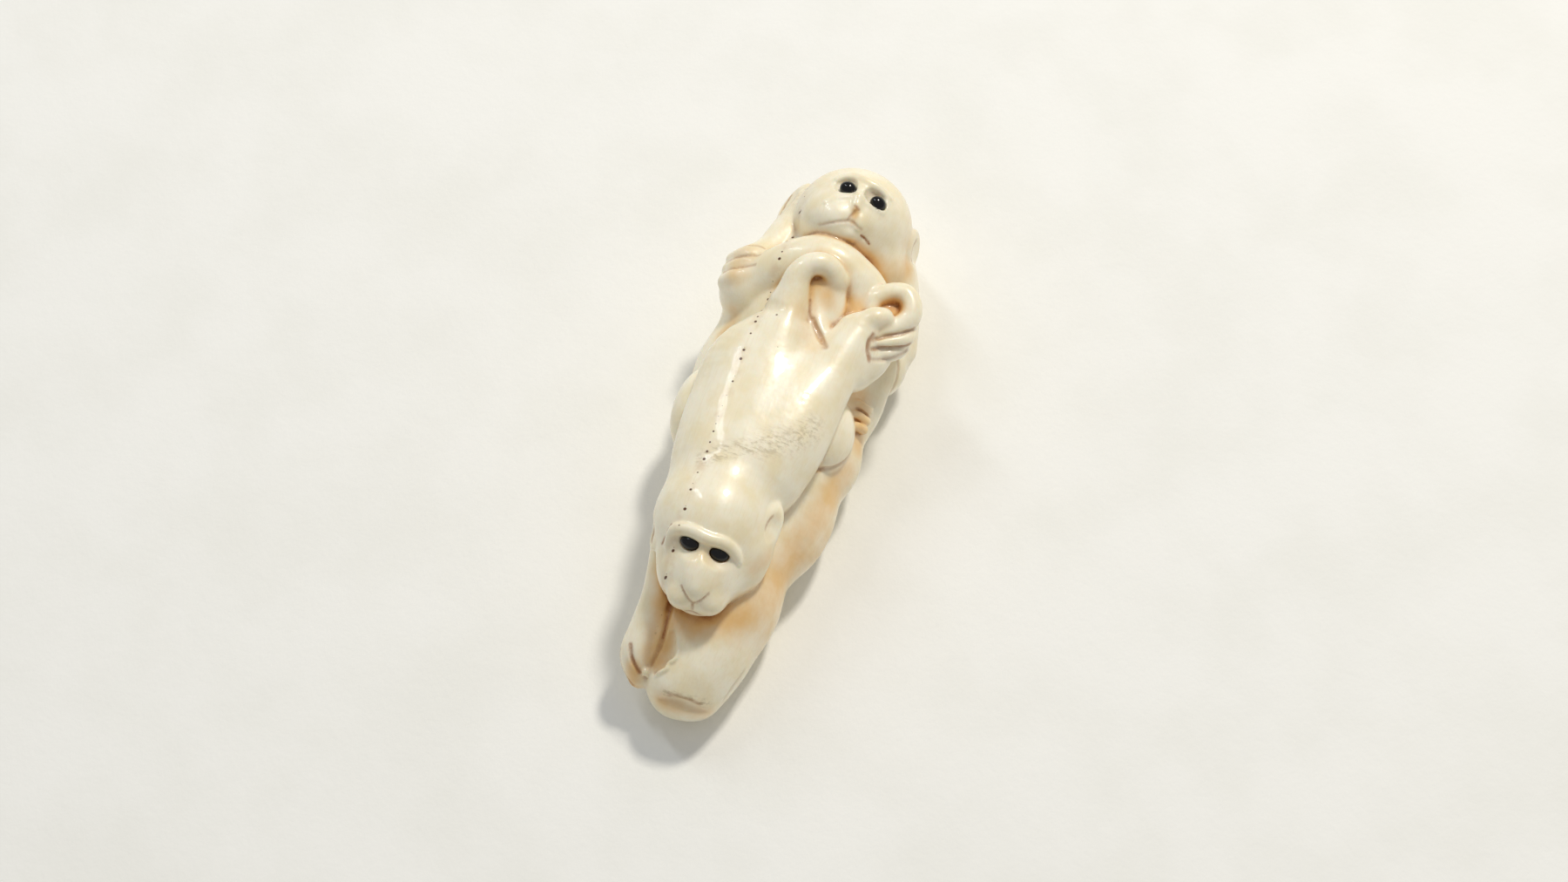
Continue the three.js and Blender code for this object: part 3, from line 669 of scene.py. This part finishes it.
def surface_net(field):
    """Corners and four-sided faces of the surface, one corner in each grid cell it crosses."""
    values = field.values
    inside = values < 0
    cells = tuple(n - 1 for n in values.shape)
    count = np.zeros(cells, np.int8)
    for corner in np.ndindex(2, 2, 2):
        count += inside[tuple(slice(c, c + n) for c, n in zip(corner, cells))]
    crossed = (count > 0) & (count < 8)
    number = np.full(cells, -1, np.int64)
    number[crossed] = np.arange(crossed.sum())
    cell = np.argwhere(crossed)

    total = np.zeros(cell.shape)
    hits = np.zeros(len(cell))
    for axis in range(3):
        others = [a for a in range(3) if a != axis]
        for shift in np.ndindex(2, 2):
            start = cell.copy()
            start[:, others] += shift
            end = start.copy()
            end[:, axis] += 1
            a, b = values[tuple(start.T)], values[tuple(end.T)]
            hit = (a < 0) != (b < 0)
            share = np.where(hit, a / np.where(hit, a - b, 1), 0)
            place = start.astype(float)
            place[:, axis] += share
            total[hit] += place[hit]
            hits += hit
    corners = field.low + GRID * total / hits[:, None]

    faces = []
    for axis in range(3):
        lower = tuple(slice(1, -1) if a != axis else slice(0, -1) for a in range(3))
        upper = tuple(slice(1, -1) if a != axis else slice(1, None) for a in range(3))
        leaving = inside[lower] & ~inside[upper]
        entering = ~inside[lower] & inside[upper]
        one, two = [(axis + 1) % 3, (axis + 2) % 3]
        for crossing, turn in ((leaving, 1), (entering, -1)):
            at = np.argwhere(crossing)
            at[:, [one, two]] += 1
            ring = []
            for da, db in ((-1, -1), (0, -1), (0, 0), (-1, 0)):
                near = at.copy()
                near[:, one] += da
                near[:, two] += db
                ring.append(number[tuple(near.T)])
            faces.append(np.stack(ring[::turn], axis=1))
    return corners, np.vstack(faces)


def mesh_of(name, corners, faces):
    mesh = bpy.data.meshes.new(name)
    sides = faces.shape[1]
    mesh.vertices.add(len(corners))
    mesh.vertices.foreach_set("co", corners.astype(np.float32).ravel())
    mesh.loops.add(faces.size)
    mesh.loops.foreach_set("vertex_index", faces.astype(np.int32).ravel())
    mesh.polygons.add(len(faces))
    mesh.polygons.foreach_set("loop_start", np.arange(0, faces.size, sides, dtype=np.int32))
    mesh.polygons.foreach_set("loop_total", np.full(len(faces), sides, np.int32))
    mesh.update(calc_edges=True)
    mesh.validate()
    return mesh


def to_frame(points):
    return (np.asarray(points) - ORIGIN) * MM


def thinned(piece, share):
    """Takes away the corners that shape the surface least."""
    modifier = piece.modifiers.new("thin", "DECIMATE")
    modifier.ratio = share
    graph = bpy.context.evaluated_depsgraph_get()
    mesh = bpy.data.meshes.new_from_object(piece.evaluated_get(graph))
    piece.modifiers.clear()
    piece.data = mesh


def blurred(values, reach, rounds=2):
    """A box blur, `reach` grid steps each way."""
    values = values.astype(np.float32)
    for axis in [0, 1, 2] * rounds:
        pad = [(reach + 1, reach) if a == axis else (0, 0) for a in range(3)]
        run = np.cumsum(np.pad(values, pad, mode="edge"), axis=axis, dtype=np.float64)
        run = np.moveaxis(run, axis, 0)
        size = 2 * reach + 1
        values = np.moveaxis((run[size:] - run[:-size]) / size, 0, axis).astype(np.float32)
    return values


def set_attribute(mesh, name, values):
    layer = mesh.attributes.new(name, "FLOAT", "POINT")
    layer.data.foreach_set("value", np.asarray(values, np.float32))


def along_lines(points, lines, softness):
    """How strongly each point lies on lines (stations, half width, strength)."""
    total = np.zeros(len(points))
    for line, size, strength in lines:
        reach = size * (1 + softness)
        line = np.asarray(line, float)
        low, high = line.min(0) - reach, line.max(0) + reach
        near = np.flatnonzero(((points > low) & (points < high)).all(axis=1))
        away = np.full(len(near), np.inf)
        for a, b in zip(line, line[1:] if len(line) > 1 else line):
            span = b - a
            share = np.clip((points[near] - a) @ span / (span @ span + 1e-9), 0, 1)
            gone = points[near] - a - share[:, None] * span
            away = np.minimum(away, np.linalg.norm(gone, axis=1))
        fade = np.clip((reach - away) / (reach - size * (1 - softness)), 0, 1)
        total[near] = np.maximum(total[near], strength * fade * fade * (3 - 2 * fade))
    return total


# Honey-coloured staining: (line, half width, strength).
AMBER = [
    ([[-17.5, 6.3, 8.8], [-21.5, 5.0, 8.4], [-25.4, 4.7, 7.0]], 1.3, 1.0),
    ([[-20.5, 4.6, 8.8], [-21.6, 2.0, 9.0], [-20.0, -1.5, 8.8]], 1.8, 0.9),
    ([[-20.0, -1.5, 8.6], [-16.0, -4.2, 7.6], [-12.0, -4.9, 7.4]], 2.4, 0.75),
    ([[-19.0, -4.0, 6.0], [-13.0, -5.0, 6.4], [-8.0, -6.8, 5.6]], 3.0, 0.5),
    ([[-11.0, -4.6, 8.0], [-5.0, -6.2, 7.4], [-1.0, -6.4, 7.0]], 1.8, 0.7),
    ([[13.6, 1.6, 14.2], [12.4, 1.2, 14.0], [11.4, 0.5, 13.6], [10.0, -0.6, 13.2]], 1.0, 1.0),
    ([[14.9, 1.0, 14.9], [14.0, 0.2, 14.8], [12.8, -0.4, 14.6]], 1.1, 0.7),
    ([[10.6, 1.6, 15.2], [8.6, 0.4, 15.0], [7.4, -0.6, 14.9]], 1.4, 0.4),
    ([[16.8, 1.6, 15.6], [16.6, -0.8, 14.8], [15.2, -2.2, 13.6]], 0.8, 0.8),
    ([[14.8, -2.6, 13.2], [13.4, -3.0, 13.6], [16.0, -4.2, 12.8]], 0.9, 0.9),
    ([[14.7, -6.6, 13.8], [14.4, -7.4, 13.8]], 0.9, 0.9),
    ([[19.4, -2.6, 12.2], [20.2, -4.2, 10.6], [21.6, -5.4, 9.4]], 1.4, 1.0),
    ([[19.6, 2.6, 14.8], [20.0, -0.6, 14.6], [20.4, -2.8, 13.0]], 0.8, 0.5),
    ([[24.0, -4.8, 11.0], [26.6, -4.4, 10.0]], 1.8, 0.4),
    ([[6.6, -6.0, 8.3], [4.0, -6.6, 8.0], [2.4, -6.8, 6.6]], 1.4, 0.7),
    ([[10.4, 9.2, 10.8], [8.8, 9.4, 10.0]], 1.0, 0.9),
    ([[16.6, 9.2, 12.4], [14.4, 9.4, 12.6]], 1.5, 0.5),
    ([[-17.3, 2.8, 14.9], [-17.4, 0.4, 14.4]], 0.9, 0.35),
    ([[-16.2, -2.2, 12.6], [-14.4, -3.2, 12.2]], 0.9, 0.5),
    ([[-26.6, 6.6, 6.2], [-27.6, 6.4, 4.4]], 0.8, 0.8),
    ([[-29.0, 3.0, 5.8], [-29.6, 0.6, 5.8], [-28.8, -2.0, 4.4]], 1.0, 0.6),
    ([[22.6, -0.4, 16.6], [21.7, -0.4, 15.9]], 0.4, 0.8),
]

# Grey-green grime from handling.
GRIME = [
    ([[-8.0, 5.4, 15.9], [-6.9, 3.6, 16.3], [-5.8, 1.6, 16.3], [-4.3, -0.5, 16.1]], 0.8, 0.75),
    ([[-5.2, 0.6, 16.2], [-3.4, -2.0, 15.9], [-1.6, -3.4, 15.5]], 1.2, 0.6),
    ([[-28.8, 3.0, 6.8], [-28.9, 0.6, 7.0], [-28.3, -1.8, 6.0]], 0.5, 0.9),
    ([[27.4, 5.6, 11.6], [25.4, 7.4, 11.2]], 0.8, 0.4),
]

# Black specks gather here.
SPECKS = [
    ([[-23.6, 4.3, 8.2], [-26.0, 4.4, 7.4]], 1.4, 1.0),
    ([[-18.6, 5.4, 12.6], [-20.6, 4.4, 11.6]], 0.9, 0.8),
    ([[-2.0, -3.6, 15.4], [0.4, -2.6, 15.6]], 1.0, 0.8),
    ([[9.0, 6.0, 15.6], [6.0, 1.0, 16.0]], 1.6, 0.7),
    ([[-25.6, 7.4, 6.4], [-24.6, 8.4, 5.4]], 0.8, 0.8),
]


def paint(mesh, field):
    """Where the ivory is hollow, creased or stained, for the material to read. The hollow and
    crease masks carry painted shade as well as real patina and dirt.
    """
    points = np.empty(len(mesh.vertices) * 3, np.float32)
    mesh.vertices.foreach_get("co", points)
    points = points.reshape(-1, 3) / MM + ORIGIN
    normals = field.outward(points, GRID)
    inside = np.clip(0.5 - field.values / GRID, 0, 1)
    wide = blurred(inside, max(1, round(VALLEY / GRID)))
    fine = blurred(inside, max(1, round(LINE_WIDTH / GRID)))
    # How enclosed the surface is just outside it: this puts painted shade, with real patina, into
    # the valleys.
    valley_shade_and_patina = field.sample(points + normals * 0.6, wide)
    # How narrowly creased the surface is: it darkens the creases, partly dirt and partly painted
    # shade.
    crease = field.sample(points + normals * 0.12, fine)
    set_attribute(mesh, "valley_shade_and_patina", np.clip((valley_shade_and_patina - 0.28) / 0.4, 0, 1))
    set_attribute(mesh, "crease", np.clip((crease - 0.42) / 0.22, 0, 1))
    set_attribute(mesh, "amber", along_lines(points, AMBER, 1.0))
    set_attribute(mesh, "grime", along_lines(points, GRIME, 0.9))
    set_attribute(mesh, "specks", along_lines(points, SPECKS, 0.6))
    set_attribute(mesh, "dirt", along_lines(points, field.lines, 0.6))
    mesh.normals_split_custom_set_from_vertices(field.outward(points, GRID * 0.8))


def add_piece(name, mesh, material, slot, *nodes):
    piece = bpy.data.objects.new(name, mesh)
    bpy.context.scene.collection.objects.link(piece)
    mesh.materials.append(material)
    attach(piece, "root")
    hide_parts(*nodes)
    return piece


# ---- materials

class Shader:
    """Short names for the nodes that the materials here are made of."""

    def __init__(self, name):
        self.material = bpy.data.materials.new(name)
        self.material.use_nodes = True
        self.tree = self.material.node_tree
        self.surface = self.tree.nodes["Principled BSDF"]

    def node(self, kind, inputs=None, **settings):
        node = self.tree.nodes.new("ShaderNode" + kind)
        for key, value in settings.items():
            setattr(node, key, value)
        for key, value in (inputs or {}).items():
            self.link(value, node.inputs[key])
        return node

    def link(self, value, socket):
        if isinstance(value, bpy.types.NodeSocket):
            self.tree.links.new(value, socket)
        elif hasattr(socket, "default_value"):
            socket.default_value = value

    def math(self, operation, a, b=0.0, clamp=False):
        node = self.node("Math", {0: a, 1: b}, operation=operation, use_clamp=clamp)
        return node.outputs[0]

    def mix(self, share, a, b):
        """Colours a to b. The colour sockets of a Mix node are the 7th and 8th."""
        node = self.node("Mix", data_type="RGBA")
        self.link(share, node.inputs["Factor"])
        self.link(a, node.inputs[6])
        self.link(b, node.inputs[7])
        return node.outputs[2]

    def scale(self, value, low, high, to_low=0.0, to_high=1.0):
        node = self.node("MapRange", {"Value": value, "From Min": low, "From Max": high,
                                      "To Min": to_low, "To Max": to_high},
                         interpolation_type="SMOOTHSTEP")
        return node.outputs["Result"]

    def noise(self, at, size, detail=3.0, rough=0.55):
        """Noise with features of about `size` mm."""
        node = self.node("TexNoise", {"Vector": at, "Scale": 1.0 / size, "Detail": detail,
                                      "Roughness": rough})
        return node.outputs["Fac"]

    def attribute(self, name):
        return self.node("Attribute", attribute_name=name).outputs["Fac"]

    def place(self):
        """Coordinates in mm in the carving's own axes."""
        at = self.node("TexCoord").outputs["Object"]
        scaled = self.node("VectorMath", {0: at, 1: (1 / MM,) * 3}, operation="MULTIPLY")
        return self.node("VectorMath", {0: scaled.outputs[0], 1: tuple(ORIGIN)},
                         operation="ADD").outputs[0]


def colour(red, green, blue):
    """Scene-linear colour from the usual 0-255 numbers."""
    linear = [(c / 255 + 0.055) ** 2.4 / 1.055 ** 2.4 if c > 10 else c / 3300
              for c in (red, green, blue)]
    return (*linear, 1.0)


def pores(s, at):
    """A row of dark pores, and a faint brown band along it. Returns both as 0 to 1."""
    split = s.node("SeparateXYZ", {"Vector": at}).outputs
    wander = s.math("MULTIPLY", s.math("SUBTRACT", s.noise(at, 6.0, 1), 0.5), 0.6)
    aside = s.math("SUBTRACT", s.math("SUBTRACT", split["Y"], CORE_PLANE), wander)
    cells = s.node("TexVoronoi", {"W": split["X"], "Scale": 1 / PORE_GAP},
                   voronoi_dimensions="1D")
    along = s.math("MULTIPLY", cells.outputs["Distance"], PORE_GAP)
    away = s.math("SQRT", s.math("ADD", s.math("MULTIPLY", along, along),
                                 s.math("MULTIPLY", aside, aside)))
    size = s.scale(s.node("SeparateColor", {0: cells.outputs["Color"]}).outputs[0],
                   0.1, 0.9, 0.04, 0.16)
    above = s.scale(split["Z"], 7.5, 9.0)
    pore = s.scale(s.math("SUBTRACT", size, away), -0.03, 0.05)
    band = s.scale(s.math("ABSOLUTE", aside), 0.1, 0.9, 1.0, 0.0)
    band = s.math("MULTIPLY", band, s.scale(s.noise(at, 2.0, 3), 0.4, 0.65))
    return s.math("MULTIPLY", pore, above), s.math("MULTIPLY", band, above)


def specks(s, at):
    """Scattered black specks, where the ivory is marked for them."""
    cells = s.node("TexVoronoi", {"Vector": at, "Scale": 1 / SPECK_GAP})
    away = s.math("MULTIPLY", cells.outputs["Distance"], SPECK_GAP)
    size = s.scale(s.node("SeparateColor", {0: cells.outputs["Color"]}).outputs[1],
                   0.3, 1.0, 0.0, 0.17)
    speck = s.scale(s.math("SUBTRACT", size, away), -0.02, 0.05)
    return s.math("MULTIPLY", speck, s.scale(s.attribute("specks"), 0.2, 0.6))


def ivory_material():
    s = Shader("ivory")
    at = s.place()
    valley_shade_and_patina = s.attribute("valley_shade_and_patina")
    crease = s.attribute("crease")
    amber = s.attribute("amber")
    grime = s.attribute("grime")
    dirt = s.attribute("dirt")

    mottle = s.noise(at, 3.2, 4)
    fine = s.noise(at, 0.7, 4, 0.65)
    drawn = s.node("VectorMath", {0: at, 1: (0.05, 1, 1)}, operation="MULTIPLY").outputs[0]
    grain = s.noise(drawn, 0.22, 3, 0.6)
    base = s.mix(s.scale(mottle, 0.35, 0.68), colour(250, 241, 216), colour(243, 230, 193))
    base = s.mix(s.scale(grain, 0.45, 0.75, 0, 0.25), base, colour(232, 214, 172))

    # A warm amber tone is painted into the valleys, partly real patina and partly painted shade,
    # and where hands have stained the ivory.
    stain_and_valley_shade = s.math("ADD", s.scale(valley_shade_and_patina, 0.1, 0.85, 0, 0.65), amber)
    stain_and_valley_shade = s.math("MULTIPLY", stain_and_valley_shade, s.scale(mottle, 0.2, 0.75, 0.7, 1.15))
    base = s.mix(s.scale(stain_and_valley_shade, 0.0, 1.0, 0, 0.9), base, colour(232, 184, 108))
    # The strongest of it turns dark brown: painted shade darkest in the valleys, over real stain.
    dark = s.math("MULTIPLY", s.scale(stain_and_valley_shade, 0.8, 1.7), s.scale(fine, 0.3, 0.65, 0.5, 1))
    base = s.mix(s.math("MULTIPLY", dark, 0.85), base, colour(166, 92, 34))

    # Grime is rubbed on in short strokes.
    rubbed = s.node("VectorMath", {0: at, 1: (1.0, 0.3, 1)}, operation="MULTIPLY").outputs[0]
    strokes = s.scale(s.noise(rubbed, 0.35, 4, 0.7), 0.42, 0.66, 0.0, 0.8)
    base = s.mix(s.math("MULTIPLY", grime, strokes), base, colour(158, 138, 86))

    pore, band = pores(s, at)
    base = s.mix(s.math("MULTIPLY", band, 0.3), base, colour(190, 150, 92))

    # Dirt lies in the cut lines, the pores and the specks, and every narrow crease is darkened
    # brown as painted shade over that dirt.
    lines = s.math("MULTIPLY", s.scale(crease, 0.1, 0.9, 0, 0.8),
                   s.scale(fine, 0.25, 0.6, 0.45, 1))
    lines = s.math("MAXIMUM", lines, s.math("MULTIPLY", dirt, s.scale(fine, 0.3, 0.6, 0.6, 1)))
    base = s.mix(lines, base, colour(158, 90, 12))
    spots = s.math("MAXIMUM", pore, specks(s, at))
    base = s.mix(spots, base, colour(92, 50, 8))

    s.link(base, s.surface.inputs["Base Color"])
    s.surface.inputs["Subsurface Weight"].default_value = 0.25
    s.surface.inputs["Subsurface Radius"].default_value = (1.0, 0.72, 0.45)
    s.surface.inputs["Subsurface Scale"].default_value = 1.0 * MM
    s.surface.inputs["IOR"].default_value = 1.54
    s.surface.inputs["Coat Weight"].default_value = 0.35
    s.surface.inputs["Coat Roughness"].default_value = 0.06
    rough = s.scale(fine, 0.3, 0.7, 0.3, 0.42)
    rough = s.math("ADD", rough, s.math("MULTIPLY", lines, 0.3))
    s.link(rough, s.surface.inputs["Roughness"])

    # Worn tool marks, then grain, with the pores sunk in.
    height = s.math("ADD", s.math("MULTIPLY", s.noise(at, 1.8, 2), 1.6),
                    s.math("MULTIPLY", fine, 0.35))
    height = s.math("ADD", height, s.math("MULTIPLY", grain, 0.12))
    height = s.math("SUBTRACT", height, s.math("MULTIPLY", spots, 0.8))
    bump = s.node("Bump", {"Strength": 0.35, "Distance": 0.08 * MM, "Height": height})
    s.link(bump.outputs[0], s.surface.inputs["Normal"])
    return s.material


def horn_material():
    s = Shader("horn")
    at = s.place()
    streak = s.noise(at, 0.5, 3)
    base = s.mix(s.scale(streak, 0.45, 0.8), colour(5, 4, 4), colour(22, 15, 11))
    s.link(base, s.surface.inputs["Base Color"])
    s.link(s.scale(streak, 0.3, 0.7, 0.1, 0.16), s.surface.inputs["Roughness"])
    s.surface.inputs["IOR"].default_value = 1.45
    return s.material


def paper_material():
    s = Shader("paper")
    at = s.place()
    cloud = s.noise(at, 14.0, 3)
    base = s.mix(s.scale(cloud, 0.35, 0.7), colour(250, 249, 243), colour(246, 245, 238))
    s.link(base, s.surface.inputs["Base Color"])
    s.surface.inputs["Roughness"].default_value = 0.9
    s.surface.inputs["Specular IOR Level"].default_value = 0.2
    bump = s.node("Bump", {"Strength": 0.35, "Distance": 0.12 * MM,
                           "Height": s.noise(at, 0.9, 4, 0.6)})
    s.link(bump.outputs[0], s.surface.inputs["Normal"])
    return s.material


# ---- the pieces

def make_ivory():
    field = carve()
    corners, faces = surface_net(field)
    corners = field.onto_surface(corners, rounds=1)
    mesh = mesh_of("ivory", to_frame(corners), faces)
    piece = add_piece("monkeys_and_branch_ivory", mesh, ivory_material(), "ivory",
                      "monkeys_and_branch")
    share = MOST_TRIANGLES / (2 * len(faces))
    if share < 1:
        thinned(piece, share)
    piece.data.shade_smooth()
    paint(piece.data, field)
    return piece


def make_eye(eye, material):
    sides, rings = EYE_SIDES, EYE_RINGS
    turn = np.array([eye.along, eye.across, np.cross(eye.along, eye.across)])
    corners, faces = [], []
    for i in range(rings + 1):
        fall = math.pi * i / rings
        for j in range(sides):
            swing = 2 * math.pi * j / sides
            ball = np.array([math.sin(fall) * math.cos(swing), math.sin(fall) * math.sin(swing),
                             math.cos(fall)])
            corners.append(eye.centre + (ball * eye.halves) @ turn)
    for i in range(rings):
        for j in range(sides):
            k = (j + 1) % sides
            faces.append([i * sides + j, (i + 1) * sides + j, (i + 1) * sides + k, i * sides + k])
    mesh = mesh_of(eye.node, to_frame(corners), np.array(faces))
    mesh.shade_smooth()
    return add_piece(eye.node + "_horn", mesh, material, "horn", eye.node)


make_ivory()
horn = horn_material()
for eye in front_eyes + rear_eyes:
    make_eye(eye, horn)


# ---- the setting

def make_floor():
    signs = np.array([[-1, -1, 0], [1, -1, 0], [1, 1, 0], [-1, 1, 0]])
    corners = FLOOR_HALF * signs - [0, 0, FLOOR_GAP]
    mesh = mesh_of("floor", corners, np.array([[0, 1, 2, 3]]))
    mesh.materials.append(paper_material())
    floor = bpy.data.objects.new("floor", mesh)
    bpy.context.scene.collection.objects.link(floor)


def aim(direction, up):
    """A turn whose -Z looks along `direction`, with +Y as near `up` as it can be."""
    back = -Vector(direction).normalized()
    right = Vector(up).cross(back).normalized()
    return Matrix((right, back.cross(right), back)).transposed()


def make_camera():
    elevation, swing = math.radians(CAMERA_ELEVATION), math.radians(CAMERA_SWING)
    ahead = Vector((math.cos(swing), math.sin(swing), 0))
    look = ahead * math.cos(elevation) - Vector((0, 0, 1)) * math.sin(elevation)
    target = Vector(to_frame(CAMERA_TARGET))
    data = bpy.data.cameras.new("camera")
    data.lens = 65
    data.sensor_width = 36
    data.sensor_fit = "HORIZONTAL"
    data.clip_start = 0.01
    data.clip_end = 10
    camera = bpy.data.objects.new("camera", data)
    bpy.context.scene.collection.objects.link(camera)
    camera.matrix_world = (Matrix.Translation(target - look * CAMERA_DISTANCE)
                           @ aim(look, ahead).to_4x4())
    bpy.context.scene.camera = camera


def add_light(name, place, size, power, tint):
    """An oblong softbox, `place` away from the object in metres, facing it."""
    data = bpy.data.lights.new(name, "AREA")
    data.shape = "RECTANGLE"
    data.size, data.size_y = size
    data.energy = power
    data.color = tint
    light = bpy.data.objects.new(name, data)
    bpy.context.scene.collection.objects.link(light)
    light.matrix_world = (Matrix.Translation(Vector(place))
                          @ aim(-Vector(place), (0, 0, 1)).to_4x4())


def make_light():
    world = bpy.data.worlds.new("studio")
    world.use_nodes = True
    background = world.node_tree.nodes["Background"]
    background.inputs["Color"].default_value = (0.97, 0.98, 1.0, 1)
    background.inputs["Strength"].default_value = 0.4
    bpy.context.scene.world = world
    add_light("key", (0.41, -0.11, 0.56), (0.09, 0.09), 2.7, (1.0, 0.95, 0.87))
    add_light("fill", (0.28, 0.36, 0.52), (0.06, 0.3), 0.7, (0.84, 0.91, 1.0))


make_floor()
make_camera()
make_light()
bpy.context.scene.view_settings.view_transform = "Standard"
